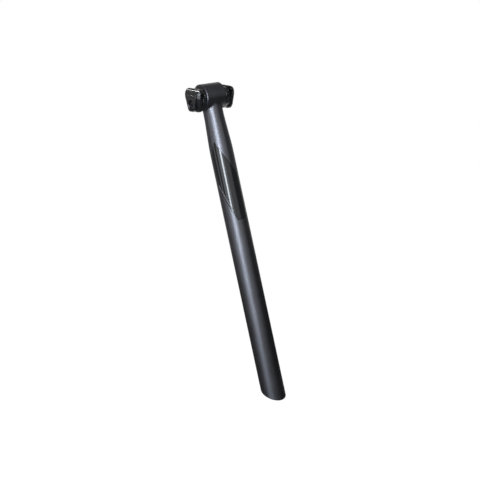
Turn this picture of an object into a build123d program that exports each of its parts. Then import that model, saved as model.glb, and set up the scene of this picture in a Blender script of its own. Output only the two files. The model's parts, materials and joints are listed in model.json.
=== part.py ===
from build123d import *
from math import acos, atan2, cos, degrees, radians, sin, sqrt, tan
import os

# Bicycle seatpost with a side-clamp head for a saddle on two round rails, in millimetres.
# +Z runs up the post, +X points to the front of the bicycle and +Y to the rider's left.
# The origin is on the post's axis at the least insertion level, where the seat tube ends.

# Post
tube_diameter = 30.9
tube_wall = 2.0
post_length = 396.5  # barrel axis down to the middle of the foot's cut
insertion = 100.0  # origin down to the middle of the foot's cut
foot_cut_angle = 36.0  # off square, with the long side at the front
foot_edge = 0.4
neck_diameter = 26.4
neck_wall = 3.4
neck_drop = 27.4  # barrel axis down to where the neck starts to widen
taper_drop = 69.0  # barrel axis down to where the neck has the tube's size
taper_blend = 240.0
neck_run = 1.0  # straight stretch at the top of the neck
bore_blend = 60.0
bore_corner = 2.0

# Barrel across the top of the post
barrel_diameter = 35.3
barrel_lip = 1.7  # barrel beyond the neck at each end
barrel_wall = 3.7
barrel_edge = 0.7
flare_inset = 0.3  # how far inside the barrel's skin the neck's swelling ends
flare_end = 0.5  # share of the barrel's radius below its axis, where the swelling ends
flare_early = 0.25  # share of the swelling gained half way up
seam_radius = 0.9

# Tapered seats in the barrel's ends
seat_depth = 7.5
seat_flare = 0.9
seat_clearance = 0.05
end_gap = 0.25

# Saddle rails and how the clamp holds them
rail_diameter = 7.0
rail_spacing = 44.0
rail_clearance = 0.05
rail_height = 4.5  # above the barrel's axis, square to the rails
rail_tilt = 17.0  # nose down, level on a seat tube that leans back as much
grip_gap = 1.0

# Inner cradles
cradle_inset = 0.55  # flange inside the barrel's skin
cradle_top = 12.0
cradle_edge = 0.7
spigot_wall = 2.2

# Outer jaws
jaw_length = 35.0
jaw_corner = 8.5  # upper corners, seen from the side
crown_clearance = 1.0  # outline above the hood's crown
hood_wall = 3.6
hood_inset = 2.0  # centre of the hood's curve, inboard of the rail
heel_drop = 16.9
heel_width = 24.0
heel_height = 3.0
heel_thickness = 4.5
heel_corner = 4.5
shoulder_corner = 6.0
end_bevel = 3.0  # slanted band beside the rail's ends
bevel_angle = 45.0
heel_edge = 1.2
pad_inset = 5.4  # raised pad round the bolt, inside the jaw's outline
pad_rise = 1.1  # pad beyond the hood
pad_top = 5.3
pad_sill = 0.5  # pad above the heel's lower edge
pad_corner = 2.4
pad_toe = 6.0
pad_draft = 16.0
mouth_bevel = 1.2  # dished mouth of the recess in the pad

# Bolt, washer and nut
bolt_diameter = 6.0
bolt_drop = 8.0  # below the barrel's axis, square to the rails
bolt_clearance = 0.3
head_diameter = 10.0
head_height = 4.0
head_edge = 0.5
hex_size = 5.0
hex_depth = 2.6
tip_edge = 0.7
tip_inset = 1.0  # bolt's tip inside the nut's outer face
washer_diameter = 11.6
washer_thickness = 1.0
seat_wall = 3.0
boss_diameter = 13.0  # boss on the jaw's inner face, in a pocket of the cradle
boss_depth = 2.5
pocket_clearance = 0.3
nut_diameter = 11.6
nut_flats = 9.6
nut_head_height = 4.0
nut_sleeve_diameter = 8.6
nut_sleeve_length = 7.0
nut_edge = 0.4
thread_clearance = 0.05

# Worked out from the sizes above
tube_r = tube_diameter / 2
bore_r = tube_r - tube_wall
neck_r = neck_diameter / 2
neck_bore_r = neck_r - neck_wall
barrel_r = barrel_diameter / 2
barrel_end = neck_r + barrel_lip
barrel_bore_r = barrel_r - barrel_wall
seat_mouth_r = barrel_bore_r + seat_flare
head_z = post_length - insertion
foot_z = -insertion - tube_r * tan(radians(foot_cut_angle)) - tube_wall
taper_turn = atan2(tube_r - neck_r, taper_drop - neck_drop)
flare_base = head_z - neck_drop + taper_blend * tan(taper_turn / 2) + neck_run
flare_top = head_z - barrel_r * flare_end
flare_r = sqrt(barrel_r**2 - (head_z - flare_top) ** 2) - flare_inset

rail_y = rail_spacing / 2
groove_r = rail_diameter / 2 + rail_clearance
hood_reach = rail_y + groove_r + hood_wall
cradle_r = barrel_r - cradle_inset
cradle_back = barrel_end + end_gap
cradle_face = rail_y - grip_gap / 2
jaw_face = rail_y + grip_gap / 2
spigot_tip = barrel_end - seat_depth
spigot_hollow_r = barrel_bore_r - seat_clearance - spigot_wall
shoulder = rail_height - groove_r

bolt_r = bolt_diameter / 2
bolt_hole_r = bolt_r + bolt_clearance
boss_r = boss_diameter / 2
boss_face = jaw_face - boss_depth
pocket_floor = boss_face - pocket_clearance
bolt_seat = boss_face + seat_wall
recess_r = washer_diameter / 2 + pocket_clearance
head_seat = bolt_seat + washer_thickness
nut_end = bolt_seat + nut_head_height
sleeve_r = nut_sleeve_diameter / 2
sleeve_hole_r = sleeve_r + bolt_clearance
bolt_length = head_seat + nut_end - tip_inset
pad_face = hood_reach + pad_rise
hood_r = hood_wall + groove_r + hood_inset
hood_top = rail_height + hood_r + crown_clearance

tilt = radians(rail_tilt)
forward = Vector(cos(tilt), 0, -sin(tilt))
head_centre = Vector(0, 0, head_z)
barrel_axis = Axis(head_centre, (0, 1, 0))
RIGHT = -1
LEFT = 1


def face_plane(side, distance):
    """Plane across the head, a distance out to one side: local Y up from the rails, Z outwards."""
    centre = head_centre + Vector(0, side * distance, 0)
    return Plane(origin=centre, x_dir=forward * -side, z_dir=(0, side, 0))


def section_plane(side):
    """Plane square to the rails: local X out to one side, Y up from the rails."""
    return Plane(origin=head_centre, x_dir=(0, side, 0), z_dir=forward * side)


def build_post():
    """Tube, tapered neck and cross barrel, hollow and in one piece."""
    with BuildPart() as post:
        with BuildSketch(Plane.XZ):
            with BuildLine():
                skin = FilletPolyline(
                    (tube_r, foot_z),
                    (tube_r, head_z - taper_drop),
                    (neck_r, head_z - neck_drop),
                    (neck_r, flare_base),
                    radius=taper_blend,
                )
                Polyline(skin @ 1, (0, flare_base), (0, foot_z), skin @ 0)
            make_face()
        revolve(axis=Axis.Z)

        # The neck swells fore and aft as it runs into the barrel
        with BuildSketch(Plane.XY.offset(flare_base)):
            Circle(neck_r)
        with BuildSketch(Plane.XY.offset((flare_base + flare_top) / 2)):
            Ellipse(neck_r + (flare_r - neck_r) * flare_early, neck_r)
        with BuildSketch(Plane.XY.offset(flare_top)):
            Ellipse(flare_r, neck_r)
        loft()
        with BuildSketch(Plane.XZ):
            with Locations((0, head_z)):
                Circle(barrel_r)
        extrude(amount=barrel_end, both=True)
        seam = post.edges().filter_by(GeomType.BSPLINE).sort_by(SortBy.LENGTH)[-1]
        fillet(seam, seam_radius)
        rims = post.edges().filter_by(GeomType.CIRCLE).sort_by(Axis.Y)
        chamfer([rims[0], rims[-1]], barrel_edge)

        # Bore of the tube and neck
        with BuildSketch(Plane.XZ):
            with BuildLine():
                bore = FilletPolyline(
                    (bore_r, foot_z),
                    (bore_r, head_z - taper_drop),
                    (neck_bore_r, head_z - neck_drop - neck_wall),
                    (neck_bore_r, head_z - barrel_r - neck_wall),
                    (0, head_z - barrel_r - neck_wall),
                    radius=[bore_blend, bore_blend, bore_corner],
                )
                Polyline(bore @ 1, (0, foot_z), bore @ 0)
            make_face()
        revolve(axis=Axis.Z, mode=Mode.SUBTRACT)

        # Barrel's bore with a tapered seat at each end
        with BuildSketch(Plane.YZ):
            with BuildLine():
                Polyline(
                    (-barrel_end, head_z),
                    (-barrel_end, head_z + seat_mouth_r),
                    (-spigot_tip, head_z + barrel_bore_r),
                    (spigot_tip, head_z + barrel_bore_r),
                    (barrel_end, head_z + seat_mouth_r),
                    (barrel_end, head_z),
                    close=True,
                )
            make_face()
        revolve(axis=barrel_axis, mode=Mode.SUBTRACT)

        # Oblique foot
        cut = radians(foot_cut_angle)
        split(bisect_by=Plane(origin=(0, 0, -insertion), z_dir=(sin(cut), 0, cos(cut))))
        fillet(post.edges().filter_by(GeomType.ELLIPSE), foot_edge)
    return post


def build_cradle(side, bolt_hole):
    """Inner half of one rail clamp: a spigot in the barrel, a flange and the rail's inner groove."""
    with BuildPart() as cradle:
        with BuildSketch(section_plane(side)):
            with BuildLine():
                Polyline(
                    (spigot_tip, spigot_hollow_r),
                    (spigot_tip, barrel_bore_r - seat_clearance),
                    (barrel_end, seat_mouth_r - seat_clearance),
                    (cradle_back, seat_mouth_r - seat_clearance),
                    (cradle_back, cradle_r),
                    (cradle_face, cradle_r),
                    (cradle_face, 0),
                    (cradle_back, 0),
                    (cradle_back, spigot_hollow_r),
                    close=True,
                )
            make_face()
        revolve(axis=barrel_axis)
        with BuildSketch(face_plane(side, cradle_back)):
            with Locations((0, cradle_top)):
                Rectangle(2 * cradle_r, cradle_r, align=(Align.CENTER, Align.MIN))
        extrude(amount=cradle_face, mode=Mode.SUBTRACT)
        outer = cradle.faces().sort_by(barrel_axis)[0 if side == RIGHT else -1]
        chamfer(outer.edges(), cradle_edge)
        with BuildSketch(section_plane(side)):
            with Locations((rail_y, rail_height)):
                Circle(groove_r)
        extrude(amount=cradle_r, both=True, mode=Mode.SUBTRACT)
        with BuildSketch(face_plane(side, pocket_floor)):
            with Locations((0, -bolt_drop)):
                Circle(boss_r + pocket_clearance)
        extrude(amount=rail_y, mode=Mode.SUBTRACT)
        with BuildSketch(face_plane(side, spigot_tip)):
            with Locations((0, -bolt_drop)):
                Circle(bolt_hole)
        extrude(amount=rail_y, mode=Mode.SUBTRACT)
    return cradle


def side_outline(half_width, top, corner, half_foot, foot, toe):
    """Face of a jaw or its pad seen from the side: upright to the shoulder, then tapered to the foot."""
    with BuildSketch() as outline:
        with BuildLine():
            FilletPolyline(
                (-half_width, top),
                (-half_width, shoulder),
                (-half_foot, foot),
                (half_foot, foot),
                (half_width, shoulder),
                (half_width, top),
                radius=[corner, shoulder_corner, toe, toe, shoulder_corner, corner],
                close=True,
            )
        make_face()
    return outline.sketch


def build_jaw(side, flats, bolt_hole):
    """Outer half of one rail clamp: a hood over the rail, a heel on the cradle and a pad round the bolt."""
    hood_centre = Vector(rail_y - hood_inset, rail_height)
    heel = Vector(cradle_face + heel_thickness, -heel_drop)
    lean = heel - hood_centre
    flank_angle = degrees(atan2(lean.Y, lean.X) + acos(hood_r / lean.length))
    lip_angle = degrees(acos((jaw_face - hood_centre.X) / hood_r))

    # Outline seen from the side, drawn in towards the outer skin
    jaw_shape = side_outline(jaw_length / 2, hood_top, jaw_corner, heel_width / 2, -heel_drop, heel_corner)
    bevel_start = hood_reach - end_bevel
    with BuildPart() as outline:
        for start, end, bevel in [(0, bevel_start, 0), (bevel_start, hood_reach, bevel_angle)]:
            with BuildSketch(face_plane(side, start)):
                add(jaw_shape)
            extrude(amount=end - start, taper=bevel)

    with BuildPart() as jaw:
        with BuildSketch(section_plane(side)):
            with BuildLine():
                hood = CenterArc(hood_centre, hood_r, lip_angle, flank_angle - lip_angle)
                Polyline(
                    hood @ 1,
                    heel,
                    (cradle_face, -heel_drop),
                    (cradle_face, heel_height - heel_drop),
                    (jaw_face, heel_height - heel_drop),
                    hood @ 0,
                )
            make_face()
        extrude(amount=jaw_length, both=True)
        add(outline.part, mode=Mode.INTERSECT)
        rim = jaw.edges().filter_by(Axis(head_centre, forward)).sort_by(Axis.Z)
        chamfer(rim[:2].sort_by(Axis.Y)[0 if side == RIGHT else -1], heel_edge)

        # Raised pad round the bolt
        pad_half = jaw_length / 2 - pad_inset
        pad_half_foot = heel_width / 2 - pad_inset
        pad_shape = side_outline(pad_half, pad_top, pad_corner, pad_half_foot, pad_sill - heel_drop, pad_toe)
        for start, end, draft in [(jaw_face, hood_reach, 0), (hood_reach, pad_face, pad_draft)]:
            with BuildSketch(face_plane(side, start)):
                add(pad_shape)
            extrude(amount=end - start, taper=draft)

        # Groove for the rail
        with BuildSketch(section_plane(side)):
            with Locations((rail_y, rail_height)):
                Circle(groove_r)
        extrude(amount=jaw_length, both=True, mode=Mode.SUBTRACT)

        # Inner boss, bolt hole and the recess for the bolt's head or the nut
        with BuildSketch(face_plane(side, boss_face)):
            with Locations((0, -bolt_drop)):
                Circle(boss_r)
        extrude(amount=boss_depth)
        with BuildSketch(face_plane(side, bolt_seat)):
            with Locations((0, -bolt_drop)):
                Circle(recess_r)
                Rectangle(2 * recess_r, flats, mode=Mode.INTERSECT)
        extrude(amount=pad_face, mode=Mode.SUBTRACT)
        mouth_r = flats / 2 - pocket_clearance
        mouth_depth = mouth_bevel + (recess_r - mouth_r) / tan(radians(bevel_angle))
        with BuildSketch(face_plane(side, pad_face - mouth_depth)):
            with Locations((0, -bolt_drop)):
                Circle(mouth_r)
        extrude(amount=mouth_depth, taper=-bevel_angle, mode=Mode.SUBTRACT)
        with BuildSketch(face_plane(side, boss_face)):
            with Locations((0, -bolt_drop)):
                Circle(bolt_hole)
        extrude(amount=pad_face, mode=Mode.SUBTRACT)
    return jaw


def build_bolt():
    """Low-head socket bolt across the head, from the right jaw to the nut."""
    with BuildPart() as bolt:
        with BuildSketch(face_plane(RIGHT, head_seat)):
            with Locations((0, -bolt_drop)):
                Circle(head_diameter / 2)
        extrude(amount=head_height)
        top = bolt.faces().sort_by(Axis.Y)[0]
        fillet(top.edges(), head_edge)
        with BuildSketch(face_plane(RIGHT, head_seat)):
            with Locations((0, -bolt_drop)):
                Circle(bolt_r)
        extrude(amount=-bolt_length)
        tip = bolt.faces().sort_by(Axis.Y)[-1]
        chamfer(tip.edges(), tip_edge)
        with BuildSketch(face_plane(RIGHT, head_seat + head_height)):
            with Locations((0, -bolt_drop)):
                RegularPolygon(hex_size / 2, 6, major_radius=False)
        extrude(amount=-hex_depth, mode=Mode.SUBTRACT)
    return bolt


def build_washer():
    """Flat washer between the bolt's head and the right jaw."""
    with BuildPart() as washer:
        with BuildSketch(face_plane(RIGHT, bolt_seat)):
            with Locations((0, -bolt_drop)):
                Circle(washer_diameter / 2)
                Circle(bolt_hole_r, mode=Mode.SUBTRACT)
        extrude(amount=washer_thickness)
    return washer


def build_nut():
    """Sleeve nut whose flats keep it from turning in the left jaw."""
    with BuildPart() as nut:
        with BuildSketch(face_plane(LEFT, bolt_seat)):
            with Locations((0, -bolt_drop)):
                Circle(nut_diameter / 2)
                Rectangle(nut_diameter, nut_flats, mode=Mode.INTERSECT)
        extrude(amount=nut_head_height)
        chamfer(nut.faces().sort_by(Axis.Y)[-1].edges(), nut_edge)
        with BuildSketch(face_plane(LEFT, bolt_seat)):
            with Locations((0, -bolt_drop)):
                Circle(sleeve_r)
        extrude(amount=-nut_sleeve_length)
        with BuildSketch(face_plane(LEFT, 0)):
            with Locations((0, -bolt_drop)):
                Circle(bolt_r + thread_clearance)
        extrude(amount=nut_end, mode=Mode.SUBTRACT)
    return nut


def save(piece, name):
    """Label a finished piece and write it to its own file."""
    piece.part.label = name
    export_step(piece.part, f"parts/{name}.step")


os.makedirs("parts", exist_ok=True)
save(build_post(), "post")
save(build_cradle(RIGHT, bolt_hole_r), "right_cradle")
save(build_cradle(LEFT, sleeve_hole_r), "left_cradle")
save(build_jaw(RIGHT, 2 * recess_r, bolt_hole_r), "right_jaw")
save(build_jaw(LEFT, nut_flats + pocket_clearance, sleeve_hole_r), "left_jaw")
save(build_bolt(), "clamp_bolt")
save(build_washer(), "bolt_washer")
save(build_nut(), "clamp_nut")
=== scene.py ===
"""Looks of a bicycle seatpost: a matte tube with a gloss panel, and a gloss clamp for the saddle's rails.

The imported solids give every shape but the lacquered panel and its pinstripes, which are built here on the
tube's own skin. The rest of the file is finishes, studio and camera. Lengths are in metres, but drops below
the barrel's axis in millimetres. Angles are in degrees, and a turn is an angle about the post's axis, from
the front towards the rider's left.
"""

from __future__ import annotations

import json
import logging
import math
from abc import ABC, abstractmethod
from dataclasses import dataclass, field
from enum import Enum
from typing import Any, Iterable, Sequence, Union

import bpy
from mathutils import Matrix, Vector
from mathutils.bvhtree import BVHTree


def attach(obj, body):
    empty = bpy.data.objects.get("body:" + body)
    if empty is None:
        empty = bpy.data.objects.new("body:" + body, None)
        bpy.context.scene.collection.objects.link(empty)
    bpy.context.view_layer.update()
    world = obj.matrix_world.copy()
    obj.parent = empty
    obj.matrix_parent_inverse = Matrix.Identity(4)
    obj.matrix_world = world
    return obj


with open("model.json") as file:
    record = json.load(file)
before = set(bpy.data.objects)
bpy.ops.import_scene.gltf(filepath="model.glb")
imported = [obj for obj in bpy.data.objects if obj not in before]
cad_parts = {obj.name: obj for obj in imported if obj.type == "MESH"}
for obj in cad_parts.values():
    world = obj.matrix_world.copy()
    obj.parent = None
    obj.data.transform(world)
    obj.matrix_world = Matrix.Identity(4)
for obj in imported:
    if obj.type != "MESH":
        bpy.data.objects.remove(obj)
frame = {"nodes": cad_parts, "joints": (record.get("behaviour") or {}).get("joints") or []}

LOG = logging.getLogger("seatpost")
PICTURE_SIDE = 480
MM = 0.001
NOISE_MEAN = 0.5
BEVEL_SAMPLES = 8
BLACK = (0.0, 0.0, 0.0)
WHITE = (1.0, 1.0, 1.0)
COOL = (0.84, 0.92, 1.0)
POST = "post"

Colour = tuple[float, float, float]
Point = tuple[float, float, float]
Range = tuple[float, float]
Value = Union["Wire", float, int]


class Side(Enum):
    """The rider's right and left, by the sign of the turn from the front."""

    RIGHT = -1
    LEFT = 1


class LampShape(Enum):
    """Outlines of a soft box, each with the share of its width times height that it fills."""

    OBLONG = ("RECTANGLE", 1.0)
    OVAL = ("ELLIPSE", math.pi / 4)


class Mixed(Enum):
    """What a Mix node mixes: its data type, then the places of its two inputs and of its output."""

    COLOURS = ("RGBA", 6, 7, 2)
    VECTORS = ("VECTOR", 4, 5, 1)


class Wire:
    """One output socket, with the operators that build Math nodes behind it."""

    def __init__(self, bench: Bench, socket: bpy.types.NodeSocket | None) -> None:
        """Keeps the socket and the bench whose tree it is on.

        Args:
            bench: The bench that adds nodes to the socket's tree.
            socket: The output socket to wrap, or None for a node that has none.
        """
        self.bench = bench
        self.socket = socket

    def _math(self, operation: str, *values: Value) -> Wire:
        """Adds one Math node for the values and returns its output."""
        return self.bench.node("ShaderNodeMath", {"operation": operation}, dict(enumerate(values)))

    def __add__(self, other: Value) -> Wire:
        """Adds a value."""
        return self._math("ADD", self, other)

    def __radd__(self, other: Value) -> Wire:
        """Adds to a value."""
        return self._math("ADD", other, self)

    def __sub__(self, other: Value) -> Wire:
        """Takes a value away."""
        return self._math("SUBTRACT", self, other)

    def __rsub__(self, other: Value) -> Wire:
        """Takes this away from a value."""
        return self._math("SUBTRACT", other, self)

    def __mul__(self, other: Value) -> Wire:
        """Multiplies by a value."""
        return self._math("MULTIPLY", self, other)

    def __rmul__(self, other: Value) -> Wire:
        """Multiplies a value."""
        return self._math("MULTIPLY", other, self)

    def root(self) -> Wire:
        """Takes the square root."""
        return self._math("SQRT", self)

    def most(self, other: Value) -> Wire:
        """Takes the larger of two values."""
        return self._math("MAXIMUM", self, other)

    def wave(self) -> Wire:
        """Gives a wave between 0 and 1 that has this as its phase."""
        return self._math("SINE", self) * 0.5 + 0.5

    def swing(self, middle: Value, width: float) -> Wire:
        """Lets a value swing with this noise, by a width about a middle."""
        return (self - NOISE_MEAN) * width + middle

    def step(self, start: float, end: float) -> Wire:
        """Goes smoothly from 0 at start to 1 at end.

        Args:
            start: Value that gives 0.
            end: Value that gives 1, above start.

        Returns:
            The eased value, between 0 and 1.
        """
        settings = {"interpolation_type": "SMOOTHSTEP", "clamp": True}
        return self.bench.node("ShaderNodeMapRange", settings, {"Value": self, 1: start, 2: end})


def distance(*runs: Wire) -> Wire:
    """Gives a distance from its runs along the axes.

    Args:
        runs: The run along each axis.

    Returns:
        The root of the sum of their squares.
    """
    first, *others = runs
    total = first * first
    for run in others:
        total = total + run * run
    return total.root()


@dataclass(frozen=True)
class Grain:
    """Fractal noise: its cells to the metre, its octaves and the weight of the finer ones."""

    scale: float
    detail: float = 2.0
    roughness: float = 0.5


class Bench:
    """A node tree under work, with the one method that adds nodes to it."""

    def __init__(self, tree: bpy.types.NodeTree) -> None:
        """Clears the tree and takes it over.

        Args:
            tree: The material's or world's node tree.
        """
        self.tree = tree
        tree.nodes.clear()

    def node(
        self,
        kind: str,
        settings: dict[str, Any] | None = None,
        inputs: dict[int | str, Any] | None = None,
        out: int | str = 0,
    ) -> Wire:
        """Adds a node, sets it up and links it.

        Args:
            kind: Blender's type name of the node.
            settings: Attributes to set first.
            inputs: Values or wires by socket index or name.
            out: Index or name of the output to return.

        Returns:
            The chosen output as a wire.
        """
        made = self.tree.nodes.new(kind)
        for name, value in (settings or {}).items():
            setattr(made, name, value)
        for name, value in (inputs or {}).items():
            self.plug(made.inputs[name], value)
        return Wire(self, made.outputs[out] if len(made.outputs) else None)

    def plug(self, target: bpy.types.NodeSocket, value: Any) -> None:
        """Links a wire to a socket or sets the socket's own value.

        Args:
            target: The input socket.
            value: A wire, a number, a colour or a vector.
        """
        if isinstance(value, Wire):
            self.tree.links.new(value.socket, target)
        elif target.type == "RGBA" and len(value) == 3:
            target.default_value = (*value, 1.0)
        else:
            target.default_value = value

    def outputs(self, wire: Wire, names: Sequence[int | str]) -> list[Wire]:
        """Gives several outputs of a wire's node, by index or name."""
        return [Wire(self, wire.socket.node.outputs[name]) for name in names]

    def place(self) -> Wire:
        """Gives the point on the object in its own rest frame."""
        return self.node("ShaderNodeTexCoord", out="Object")

    def parts(self, vector: Wire) -> list[Wire]:
        """Splits a vector into its three values."""
        return self.outputs(self.node("ShaderNodeSeparateXYZ", inputs={0: vector}), (0, 1, 2))

    def grain(self, grain: Grain) -> Wire:
        """Adds fractal noise.

        Args:
            grain: Its scale, detail and roughness.

        Returns:
            The noise, about 0.5 on average.
        """
        inputs = {"Scale": grain.scale, "Detail": grain.detail, "Roughness": grain.roughness}
        return self.node("ShaderNodeTexNoise", {}, {"Vector": self.place(), **inputs})

    def mix(self, factor: Value, first: Any, second: Any, kind: Mixed = Mixed.COLOURS) -> Wire:
        """Mixes two colours or two vectors.

        Args:
            factor: Share of the second one.
            first: Colour or vector at 0.
            second: Colour or vector at 1.
            kind: Which of the two they are.

        Returns:
            The mixed colour or vector.
        """
        data_type, low, high, out = kind.value
        inputs = {"Factor": factor, low: first, high: second}
        return self.node("ShaderNodeMix", {"data_type": data_type}, inputs, out)

    def rounded(self, edge: float) -> Wire:
        """Gives the normal over edges that are broken to a radius."""
        return self.node("ShaderNodeBevel", {"samples": BEVEL_SAMPLES}, {"Radius": edge})

    def bump(self, height: Wire, rise: float, normal: Wire) -> Wire:
        """Turns a height into a normal.

        Args:
            height: The height, 0 to 1.
            rise: Metres between heights 0 and 1.
            normal: The normal that the height stands on.

        Returns:
            The bumped normal.
        """
        return self.node("ShaderNodeBump", {}, {"Height": height, "Distance": rise, "Normal": normal})

    def surface(self, shader: Wire) -> None:
        """Ends the tree in a material's output."""
        self.node("ShaderNodeOutputMaterial", inputs={"Surface": shader})


def new_material(name: str) -> tuple[bpy.types.Material, Bench]:
    """Makes an empty node material.

    Args:
        name: Name of the material.

    Returns:
        The material and the bench for its tree.
    """
    material = bpy.data.materials.new(name)
    material.use_nodes = True
    return material, Bench(material.node_tree)


@dataclass(frozen=True, kw_only=True)
class Finish(ABC):
    """A finish of the seatpost, made with one Principled shader."""

    name: str

    @abstractmethod
    def inputs(self, bench: Bench) -> dict[str, Any]:
        """Works out the shader's inputs.

        Args:
            bench: Bench of the tree to add to.

        Returns:
            Values and wires by socket name.
        """

    def material(self) -> bpy.types.Material:
        """Builds the finish.

        Returns:
            The material.
        """
        made, bench = new_material(self.name)
        bench.surface(bench.node("ShaderNodeBsdfPrincipled", {}, self.inputs(bench)))
        return made


@dataclass(frozen=True, kw_only=True)
class BlastedMatte(Finish):
    """Bead blasted and dyed black aluminium: dark, broad sheen with a fine even grain.

    The seam's foot and top are heights above the barrel's axis, its side a distance from the middle plane.
    """

    barrel_z: float
    name: str = "blasted_matte"
    deep: Colour = (0.213, 0.214, 0.240)
    pale: Colour = (0.263, 0.265, 0.298)
    tone_range: Range = (0.3, 0.7)
    metal: float = 1.0
    roughness: float = 0.38
    roughness_swing: float = 0.06
    grain: Grain = Grain(5200.0, roughness=0.6)
    grain_share: float = 0.6
    grain_height: float = 0.012 * MM
    clouds: Grain = Grain(55.0, detail=3.0)
    edge: float = 0.4 * MM
    seam_edge: float = 3.5 * MM
    seam_foot: Range = (-34.5 * MM, -26.5 * MM)
    seam_top: Range = (-6.5 * MM, 1.5 * MM)
    seam_side: Range = (12.5 * MM, 15.0 * MM)

    def seam_normal(self, bench: Bench) -> Wire:
        """Rounds the edges a little, and the seam where the neck runs into the barrel more.

        Args:
            bench: Bench of the tree to add to.

        Returns:
            The normal.
        """
        _, side, z = bench.parts(bench.place())
        above = z - self.barrel_z
        tall = above.step(*self.seam_foot) * (1.0 - above.step(*self.seam_top))
        near = tall * (1.0 - distance(side).step(*self.seam_side))
        return bench.mix(near, bench.rounded(self.edge), bench.rounded(self.seam_edge), Mixed.VECTORS)

    def inputs(self, bench: Bench) -> dict[str, Any]:
        """Works out the shader's inputs.

        Args:
            bench: Bench of the tree to add to.

        Returns:
            Values and wires by socket name.
        """
        grain = bench.grain(self.grain)
        clouds = bench.grain(self.clouds)
        tone = self.grain_share * grain + (1.0 - self.grain_share) * clouds
        return {
            "Base Color": bench.mix(tone.step(*self.tone_range), self.deep, self.pale),
            "Metallic": self.metal,
            "Roughness": clouds.swing(self.roughness, self.roughness_swing),
            "Normal": bench.bump(grain, self.grain_height, self.seam_normal(bench)),
        }


@dataclass(frozen=True, kw_only=True)
class GlossBlack(Finish):
    """Black under a clear coat, clouded a little and with a faint orange peel."""

    deep: Colour
    pale: Colour
    tone_range: Range
    clouds: Grain
    roughness: float
    roughness_swing: float
    ior: float
    peel: Grain
    peel_height: float
    edge: float
    coat: float = 1.0
    coat_roughness: float = 0.06

    def inputs(self, bench: Bench) -> dict[str, Any]:
        """Works out the shader's inputs.

        Args:
            bench: Bench of the tree to add to.

        Returns:
            Values and wires by socket name.
        """
        clouds = bench.grain(self.clouds)
        return {
            "Base Color": bench.mix(clouds.step(*self.tone_range), self.deep, self.pale),
            "Roughness": clouds.swing(self.roughness, self.roughness_swing),
            "IOR": self.ior,
            "Coat Weight": self.coat,
            "Coat Roughness": self.coat_roughness,
            "Normal": bench.bump(bench.grain(self.peel), self.peel_height, bench.rounded(self.edge)),
        }


@dataclass(frozen=True, kw_only=True)
class GlossForging(GlossBlack):
    """Gloss black forged alloy of the clamp, deep and bright."""

    name: str = "gloss_forging"
    deep: Colour = (0.009, 0.009, 0.011)
    pale: Colour = (0.024, 0.024, 0.028)
    tone_range: Range = (0.35, 0.65)
    clouds: Grain = Grain(160.0, detail=3.0)
    roughness: float = 0.2
    roughness_swing: float = 0.16
    ior: float = 1.9
    peel: Grain = Grain(900.0, detail=1.0)
    peel_height: float = 0.02 * MM
    edge: float = 0.9 * MM


@dataclass(frozen=True, kw_only=True)
class GlossLacquer(GlossBlack):
    """Thin gloss black lacquer of the panel, smooth and slightly blue in the light."""

    name: str = "gloss_lacquer"
    deep: Colour = (0.006, 0.007, 0.010)
    pale: Colour = (0.010, 0.011, 0.015)
    tone_range: Range = (0.3, 0.7)
    clouds: Grain = Grain(120.0, detail=3.0)
    roughness: float = 0.12
    roughness_swing: float = 0.06
    ior: float = 1.6
    peel: Grain = Grain(700.0, detail=1.0)
    peel_height: float = 0.008 * MM
    edge: float = 0.05 * MM


@dataclass(frozen=True, kw_only=True)
class PlatedSteel(Finish):
    """Dark plated steel with turning rings about the clamp bolt's axis."""

    centre: Point
    name: str = "plated_steel"
    deep: Colour = (0.16, 0.16, 0.17)
    pale: Colour = (0.34, 0.34, 0.36)
    tone_range: Range = (0.3, 0.75)
    metal: float = 1.0
    roughness: float = 0.3
    specks: Grain = Grain(2400.0, detail=3.0)
    speck_swing: float = 0.12
    ring_pitch: float = 1.2083 * MM
    ring_swing: float = 0.1
    ring_height: float = 0.006 * MM
    wobble: Grain = Grain(420.0)
    wobble_phase: float = 3.0
    edge: float = 0.2 * MM

    def inputs(self, bench: Bench) -> dict[str, Any]:
        """Works out the shader's inputs.

        Args:
            bench: Bench of the tree to add to.

        Returns:
            Values and wires by socket name.
        """
        ends = {0: bench.place(), 1: self.centre}
        away = bench.node("ShaderNodeVectorMath", {"operation": "SUBTRACT"}, ends)
        across, _, up = bench.parts(away)
        phase = distance(across, up) * (math.tau / self.ring_pitch)
        rings = (phase + bench.grain(self.wobble) * self.wobble_phase).wave()
        specks = bench.grain(self.specks)
        speckled = specks.swing(self.roughness, self.speck_swing)
        return {
            "Base Color": bench.mix(specks.step(*self.tone_range), self.deep, self.pale),
            "Metallic": self.metal,
            "Roughness": rings.swing(speckled, self.ring_swing),
            "Normal": bench.bump(rings, self.ring_height, bench.rounded(self.edge)),
        }


@dataclass(frozen=True, kw_only=True)
class PalePrint(Finish):
    """Pale grey screen print, slightly uneven in its cover."""

    name: str = "pale_print"
    thin: Colour = (0.26, 0.27, 0.29)
    full: Colour = (0.40, 0.41, 0.43)
    cover: Grain = Grain(900.0, detail=4.0, roughness=0.65)
    cover_range: Range = (0.3, 0.6)
    cover_height: float = 0.006 * MM
    roughness: float = 0.38
    roughness_swing: float = 0.12
    edge: float = 0.05 * MM

    def inputs(self, bench: Bench) -> dict[str, Any]:
        """Works out the shader's inputs.

        Args:
            bench: Bench of the tree to add to.

        Returns:
            Values and wires by socket name.
        """
        cover = bench.grain(self.cover)
        return {
            "Base Color": bench.mix(cover.step(*self.cover_range), self.thin, self.full),
            "Roughness": cover.swing(self.roughness, self.roughness_swing),
            "Normal": bench.bump(cover, self.cover_height, bench.rounded(self.edge)),
        }


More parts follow.
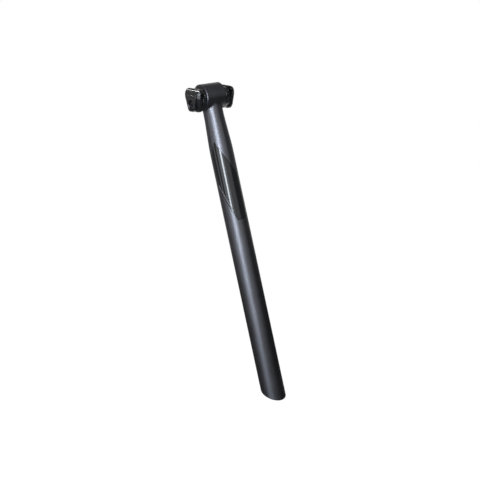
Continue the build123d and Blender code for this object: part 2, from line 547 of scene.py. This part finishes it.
def joint_place(name: str) -> Point:
    """Finds the point that a joint turns about.

    Args:
        name: Name of the joint.

    Returns:
        The point in the row frame.
    """
    return tuple(next(joint["pos_m"] for joint in frame["joints"] if joint["name"] == name))


def evenly(first: float, last: float, count: int) -> list[float]:
    """Divides a stretch into equal steps.

    Args:
        first: Where it starts.
        last: Where it ends.
        count: Number of steps.

    Returns:
        The ends of the steps, one more than their number.
    """
    return [first + (last - first) * index / count for index in range(count + 1)]


def around(turn: float, radius: float, z: float) -> Vector:
    """Places a point at a turn about the post's axis."""
    angle = math.radians(turn)
    return Vector((radius * math.cos(angle), radius * math.sin(angle), z))


def grey(level: float) -> Colour:
    """Gives an even grey."""
    return (level, level, level)


def dress(names: Iterable[str], material: bpy.types.Material) -> None:
    """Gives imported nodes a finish.

    Args:
        names: Names of the nodes.
        material: The finish.
    """
    for name in names:
        mesh = frame["nodes"][name].data
        mesh.materials.clear()
        mesh.materials.append(material)
        LOG.info("%s takes %s", name, material.name)


def mesh_object(name: str, points: Sequence[Vector], faces: Sequence[Sequence[int]]) -> bpy.types.Object:
    """Links a smooth mesh to the scene.

    Args:
        name: Name of the piece.
        points: Its vertices in the row frame.
        faces: Its faces as lists of vertex numbers.

    Returns:
        The piece.
    """
    mesh = bpy.data.meshes.new(name)
    mesh.from_pydata([tuple(p) for p in points], [], [tuple(f) for f in faces])
    mesh.update()
    mesh.shade_smooth()
    made = bpy.data.objects.new(name, mesh)
    bpy.context.scene.collection.objects.link(made)
    return made


@dataclass(frozen=True)
class Chain:
    """A line down the post's skin, by stations of a drop and the turn that belongs to it."""

    stations: tuple[tuple[float, float], ...]

    def turn(self, drop: float) -> float:
        """Finds the turn at a drop by straight runs between stations.

        Args:
            drop: Millimetres below the barrel's axis.

        Returns:
            The turn.
        """
        rows = self.stations
        for (low, first), (high, second) in zip(rows, rows[1:]):
            if drop <= high:
                share = max(0.0, drop - low) / (high - low)
                return first + (second - first) * share
        return rows[-1][1]


@dataclass
class TubePost:
    """The matte post with its gloss panel and the pinstripes along the panel's lower edges.

    A film stands proud of the skin, and its inner face is sunk below it. A pinstripe's tip has a share of
    its full width, and widens from there by so many widths over its run.
    """

    # The panel's edges, from its top to its lower point, as pairs of drop and turn.
    near_edge: Chain = Chain(
        ((60.5, -60.0), (64.0, -71.0), (72.0, -86.0), (84.0, -98.0), (98.0, -104.0), (110.0, -101.0),
         (119.0, -91.0), (166.0, -26.7))
    )
    far_edge: Chain = Chain(
        ((60.5, -59.0), (62.0, -56.0), (76.0, -32.0), (93.0, 0.0), (104.0, 30.0), (112.0, 60.0),
         (118.0, 84.0), (120.5, 90.0), (166.0, 26.7))
    )
    film: float = 0.05 * MM
    sunk: float = 0.15 * MM
    rows: int = 110
    columns: int = 44
    stripe_film: float = 0.08 * MM
    stripe_rows: int = 40
    stripe_columns: int = 3
    stripe_inset: float = 1.3 * MM
    stripe_width: float = 0.95 * MM
    stripe_from: float = 117.0
    stripe_to: float = 160.0
    tip_share: float = 0.08
    tip_widening: float = 4.0
    probe_reach: float = 0.1
    probe_rays: int = 180
    axis_z: float = field(init=False)
    skin: BVHTree = field(init=False)

    def __post_init__(self) -> None:
        """Takes the barrel's axis from the tilt joint and makes the skin ready for measuring."""
        self.axis_z = joint_place("saddle_tilt")[2]
        mesh = frame["nodes"][POST].data
        self.skin = BVHTree.FromPolygons(
            [v.co for v in mesh.vertices], [tuple(p.vertices) for p in mesh.polygons]
        )

    def radius(self, z: float) -> float:
        """Measures the post's outer radius at a height.

        Args:
            z: Height in the row frame.

        Returns:
            The largest distance from the axis to the skin.
        """
        found = 0.0
        for ray in range(self.probe_rays):
            out = around(360.0 * ray / self.probe_rays, 1.0, 0.0)
            hit, _, _, gap = self.skin.ray_cast(out * self.probe_reach + Vector((0.0, 0.0, z)), -out)
            if hit is not None:
                found = max(found, self.probe_reach - gap)
        return found

    def film_shell(
        self, name: str, drops: Sequence[float], spans: Sequence[Range], columns: int, film: float
    ) -> bpy.types.Object:
        """Builds a closed film that lies on the post's skin.

        Args:
            name: Name of the piece.
            drops: Rows in millimetres below the barrel's axis, from the top.
            spans: First and last turn of each row.
            columns: Number of cells across.
            film: How far the film stands proud of the skin.

        Returns:
            The piece.
        """
        points: list[Vector] = []
        for drop, (first, last) in zip(drops, spans):
            z = self.axis_z - drop * MM
            skin = self.radius(z)
            turns = evenly(first, last, columns)
            for radius in (skin + film, skin - self.sunk):
                points += [around(turn, radius, z) for turn in turns]

        def over(row: int, column: int) -> int:
            """Numbers a point on the film's outer face."""
            return 2 * row * (columns + 1) + column

        def under(row: int, column: int) -> int:
            """Numbers a point on the film's inner face."""
            return over(row, column) + columns + 1

        # Every row of cells has its outer and inner faces and a wall at each side.
        faces: list[list[int]] = []
        end = len(drops) - 1
        for r in range(end):
            for c in range(columns):
                faces.append([over(r, c), over(r + 1, c), over(r + 1, c + 1), over(r, c + 1)])
                faces.append([under(r, c), under(r, c + 1), under(r + 1, c + 1), under(r + 1, c)])
            for c, way in ((0, 1), (columns, -1)):
                faces.append([over(r, c), under(r, c), under(r + 1, c), over(r + 1, c)][::way])
        # Walls close the film along its top and bottom.
        for c in range(columns):
            faces.append([over(0, c), over(0, c + 1), under(0, c + 1), under(0, c)])
            faces.append([over(end, c), under(end, c), under(end, c + 1), over(end, c + 1)])
        return mesh_object(name, points, faces)

    def panel(self) -> bpy.types.Object:
        """Builds the lacquered panel on the front and flanks of the post.

        Returns:
            The panel.
        """
        drops = evenly(self.near_edge.stations[0][0], self.near_edge.stations[-1][0], self.rows)
        spans = [(self.near_edge.turn(drop), self.far_edge.turn(drop)) for drop in drops]
        return self.film_shell("front_panel", drops, spans, self.columns, self.film)

    def stripe(self, name: str, edge: Chain, side: Side) -> bpy.types.Object:
        """Builds one pinstripe along a lower edge of the panel, pointed at its lower end.

        Args:
            name: Name of the piece.
            edge: The panel's edge.
            side: Side of the post that the edge is on.

        Returns:
            The pinstripe.
        """
        skin = self.radius(self.axis_z - self.stripe_to * MM)
        (low, first), (high, second) = edge.stations[-2:]
        # The edge runs aslant here, so what is measured square to it is longer along a row.
        slope = math.radians(second - first) * skin / ((high - low) * MM)
        stretch = math.hypot(1.0, slope)
        drops = evenly(self.stripe_from, self.stripe_to, self.stripe_rows)
        spans = []
        for drop in drops:
            to_tip = (self.stripe_to - drop) / (self.stripe_to - self.stripe_from)
            share = min(1.0, self.tip_share + self.tip_widening * to_tip)
            edge_turn = first + (second - first) * (drop - low) / (high - low)
            near = edge_turn - side.value * math.degrees(self.stripe_inset * stretch / skin)
            far = near - side.value * math.degrees(self.stripe_width * share * stretch / skin)
            spans.append((min(near, far), max(near, far)))
        return self.film_shell(name, drops, spans, self.stripe_columns, self.stripe_film)

    def build(self) -> None:
        """Dresses the post and puts the panel and its pinstripes on it."""
        dress([POST], BlastedMatte(barrel_z=self.axis_z).material())
        lacquer = GlossLacquer().material()
        print_finish = PalePrint().material()
        pieces = [
            (self.panel(), lacquer),
            (self.stripe("right_pinstripe", self.near_edge, Side.RIGHT), print_finish),
            (self.stripe("left_pinstripe", self.far_edge, Side.LEFT), print_finish),
        ]
        for piece, finish in pieces:
            piece.data.materials.append(finish)
            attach(piece, POST)
            LOG.info("%s rides on %s", piece.name, POST)


@dataclass
class RailClamp:
    """The two cradles and two jaws that grip the saddle's rails."""

    nodes: Sequence[str] = ("right_cradle", "left_cradle", "right_jaw", "left_jaw")

    def build(self) -> None:
        """Dresses the forgings."""
        dress(self.nodes, GlossForging().material())


@dataclass
class CrossBolt:
    """The clamp bolt with its washer and nut."""

    nodes: Sequence[str] = ("clamp_bolt", "bolt_washer", "clamp_nut")

    def build(self) -> None:
        """Dresses the fasteners with rings about the bolt's axis."""
        dress(self.nodes, PlatedSteel(centre=joint_place("bolt_turn")).material())


@dataclass
class PhotoCamera:
    """The camera at the photograph's angle."""

    turn: float = -33.0
    roll: float = 12.11
    target_z: float = 0.1035
    distance: float = 1.85
    pixels_per_metre: float = 762.5
    nudge_right: float = -0.94 * MM
    nudge_up: float = 0.66 * MM
    sensor: float = 36.0
    clip_start: float = 0.01

    def build(self) -> None:
        """Makes the camera and hands it to the scene."""
        roll = math.radians(self.roll)
        back = around(self.turn, 1.0, 0.0)
        level = around(self.turn + 90.0, 1.0, 0.0)
        upright = Vector((0.0, 0.0, 1.0))
        up = math.cos(roll) * upright + math.sin(roll) * level
        right = math.cos(roll) * level - math.sin(roll) * upright
        target = self.target_z * upright + self.nudge_right * right + self.nudge_up * up
        data = bpy.data.cameras.new("photo_camera")
        data.sensor_width = self.sensor
        # This lens gives the wanted scale at the post's axis.
        data.lens = self.pixels_per_metre * self.distance / PICTURE_SIDE * self.sensor
        data.clip_start = self.clip_start
        made = bpy.data.objects.new("photo_camera", data)
        axes = Matrix((right, up, back)).transposed().to_4x4()
        made.matrix_world = Matrix.Translation(target + self.distance * back) @ axes
        bpy.context.scene.collection.objects.link(made)
        bpy.context.scene.camera = made
        LOG.info("%s stands %.2f m away", made.name, self.distance)


@dataclass(frozen=True, kw_only=True)
class SoftBox:
    """A soft lamp that stands round the post and faces a point on its axis."""

    name: str
    turn: float
    reach: float
    z: float
    aim_z: float
    width: float
    height: float
    radiance: float
    shape: LampShape = LampShape.OBLONG
    lean: float = 0.0
    colour: Colour = COOL

    def build(self) -> None:
        """Hangs the lamp, turns it to its aim and leans it in its own plane."""
        outline, share = self.shape.value
        data = bpy.data.lights.new(self.name, "AREA")
        data.shape = outline
        data.size = self.width
        data.size_y = self.height
        data.color = self.colour
        # A flat lamp's watts are its radiance times pi times its lit area.
        data.energy = self.radiance * math.pi * share * self.width * self.height
        made = bpy.data.objects.new(self.name, data)
        made.location = around(self.turn, self.reach, self.z)
        towards = Vector((0.0, 0.0, self.aim_z)) - made.location
        facing = towards.to_track_quat("-Z", "Y").to_matrix()
        made.rotation_euler = (facing @ Matrix.Rotation(-math.radians(self.lean), 3, "Z")).to_euler()
        bpy.context.scene.collection.objects.link(made)
        LOG.info("%s hangs %.2f m away", self.name, towards.length)


@dataclass(frozen=True)
class Card:
    """A curved wall of card from one turn to another, with the brightness of its foot and crown.

    The fade between the two may lie lower than on the other cards, by its drop.
    """

    name: str
    first: float
    last: float
    foot: float
    crown: float
    drop: float = 0.0


@dataclass
class Studio:
    """White surroundings, pale floor, soft lamps and the grey cards that keep the tube's flanks dark."""

    floor_z: float = -0.30
    floor_reach: float = 12.0
    floor_level: float = 0.5
    # The floor's glow, from a painted shade near the post's axis to its full level out in the open.
    painted_shade_to_glow: Range = (0.62, 0.90)
    painted_shade_reach: Range = (0.08, 0.38)
    fill: float = 0.25
    card_reach: float = 1.15
    card_low: float = -0.29
    card_high: float = 1.5
    card_steps: int = 24
    round_steps: int = 48
    fade_low: float = 0.02
    fade_high: float = 0.1
    # The walls go once round the post. Those at the back are lit so that its rear has form.
    cards: Sequence[Card] = (
        Card("front_card", -84.0, -34.0, foot=0.0, crown=0.43),
        Card("shoulder_card", -34.0, 8.0, foot=0.0, crown=0.5, drop=0.06),
        Card("inner_card", 8.0, 20.0, foot=0.0, crown=0.43),
        Card("left_gap_card", -98.0, -84.0, foot=0.04, crown=0.15),
        Card("left_strip", -111.0, -98.0, foot=0.04, crown=0.7),
        Card("left_card", -150.0, -111.0, foot=0.04, crown=0.15),
        Card("right_card", 20.0, 92.0, foot=0.0, crown=0.09),
        Card("rear_card", 92.0, 125.0, foot=0.0, crown=0.3),
        Card("back_card", 125.0, 165.0, foot=0.3, crown=0.6),
        Card("back_left_card", -195.0, -150.0, foot=0.05, crown=0.2),
    )
    ground_brightness: float = 0.05
    roof_brightness: float = 0.1
    back_ground: Range = (95.0, 185.0)
    back_ground_brightness: float = 0.6
    back_ground_lift: float = 1.0 * MM
    lamps: Sequence[SoftBox] = (
        SoftBox(
            name="key_strip", turn=-44.2, reach=0.8, z=0.338, aim_z=0.338, width=0.18, height=0.64,
            radiance=8.2, shape=LampShape.OVAL, lean=35.0,
        ),
        SoftBox(
            name="key_box", turn=-54.6, reach=0.9, z=0.216, aim_z=0.216, width=0.72, height=1.24,
            radiance=0.65, shape=LampShape.OVAL, lean=55.0,
        ),
        SoftBox(
            name="rim_box", turn=-166.0, reach=0.62, z=1.10, aim_z=0.31, width=0.08, height=0.08,
            radiance=17.0, colour=WHITE,
        ),
    )

    def world(self) -> None:
        """Makes surroundings that look white and fill the shadows softly."""
        world = bpy.data.worlds.new("studio_world")
        bpy.context.scene.world = world
        world.use_nodes = True
        bench = Bench(world.node_tree)
        colour = bench.mix(self.seen_by_eye(bench), grey(self.fill), WHITE)
        light = bench.node("ShaderNodeBackground", {}, {"Color": colour})
        bench.node("ShaderNodeOutputWorld", inputs={"Surface": light})

    @staticmethod
    def seen_by_eye(bench: Bench) -> Wire:
        """Gives 1 for camera, glossy and transmission rays and 0 for others.

        Args:
            bench: Bench of the tree to add to.

        Returns:
            The mask.
        """
        rays = ("Is Camera Ray", "Is Glossy Ray", "Is Transmission Ray")
        camera, gloss, glass = bench.outputs(bench.node("ShaderNodeLightPath"), rays)
        return camera.most(gloss).most(glass)

    def floor(self) -> None:
        """Lays the pale floor, which keeps the object's shadow, has a painted shade near it and runs out
        into white.
        """
        reach, z = self.floor_reach, self.floor_z
        corners = [Vector((x * reach, y * reach, z)) for x, y in ((-1, -1), (1, -1), (1, 1), (-1, 1))]
        floor = mesh_object("studio_floor", corners, [[0, 1, 2, 3]])
        material, bench = new_material("pale_floor")
        across, along, _ = bench.parts(bench.place())
        near, far = self.painted_shade_to_glow
        # Painted shade: the glow is dimmer near the post's axis and rises to its full level further out.
        glow = distance(across, along).step(*self.painted_shade_reach) * (far - near) + near
        lit = bench.node("ShaderNodeBsdfDiffuse", {}, {"Color": grey(self.floor_level)})
        seen = self.seen_by_eye(bench) * glow
        white = bench.node("ShaderNodeEmission", {}, {"Color": bench.mix(seen, BLACK, WHITE)})
        bench.surface(bench.node("ShaderNodeAddShader", inputs={0: lit, 1: white}))
        floor.data.materials.append(material)
        LOG.info("%s lies at %.2f m", floor.name, z)

    def shade(self, card: bpy.types.Object, foot: float, crown: float, drop: float = 0.0) -> None:
        """Makes a card that only the object's gloss can see.

        Args:
            card: The wall, ground or roof card.
            foot: How bright its lower part looks in the gloss.
            crown: How bright its upper part looks.
            drop: How far its fade lies below the studio's.
        """
        material, bench = new_material(card.name + "_cloth")
        _, _, up = bench.parts(bench.place())
        rise = up.step(self.fade_low - drop, self.fade_high - drop)
        cloth = bench.mix(rise, grey(foot), grey(crown))
        bench.surface(bench.node("ShaderNodeEmission", {}, {"Color": cloth}))
        card.data.materials.append(material)
        card.visible_camera = False
        card.visible_diffuse = False
        card.visible_shadow = False
        card.visible_transmission = False
        LOG.info("%s is set", card.name)

    def stand(self, card: Card) -> None:
        """Stands one card round the object.

        Args:
            card: The card to stand.
        """
        points: list[Vector] = []
        for turn in evenly(card.first, card.last, self.card_steps):
            points += [around(turn, self.card_reach, z) for z in (self.card_low, self.card_high)]
        faces = [[2 * i, 2 * i + 2, 2 * i + 3, 2 * i + 1] for i in range(self.card_steps)]
        self.shade(mesh_object(card.name, points, faces), card.foot, card.crown, card.drop)

    def lay(self, name: str, z: float, brightness: float, first: float = 0.0, last: float = 360.0) -> None:
        """Lays a round card, or a wedge of one, across the walls.

        Args:
            name: Name of the card.
            z: Its height.
            brightness: How bright it looks in the gloss.
            first: Turn where it starts.
            last: Turn where it ends.
        """
        rim = [around(turn, self.card_reach, z) for turn in evenly(first, last, self.round_steps)]
        faces = [[0, i + 1, i + 2] for i in range(self.round_steps)]
        self.shade(mesh_object(name, [Vector((0.0, 0.0, z)), *rim], faces), brightness, brightness)

    def build(self) -> None:
        """Sets up the whole studio."""
        bpy.context.scene.view_settings.view_transform = "Standard"
        self.world()
        self.floor()
        for card in self.cards:
            self.stand(card)
        # The lit wedge lies just above the dark ground card, never in its plane.
        back_z = self.card_low + self.back_ground_lift
        self.lay("ground_card", self.card_low, self.ground_brightness)
        self.lay("back_ground_card", back_z, self.back_ground_brightness, *self.back_ground)
        self.lay("roof_card", self.card_high, self.roof_brightness)
        for lamp in self.lamps:
            lamp.build()


def main() -> None:
    """Builds the seatpost's looks in order."""
    logging.basicConfig(level=logging.INFO, format="%(name)s: %(message)s")
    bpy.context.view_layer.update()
    PhotoCamera().build()
    TubePost().build()
    RailClamp().build()
    CrossBolt().build()
    Studio().build()


if __name__ == "__main__":
    main()
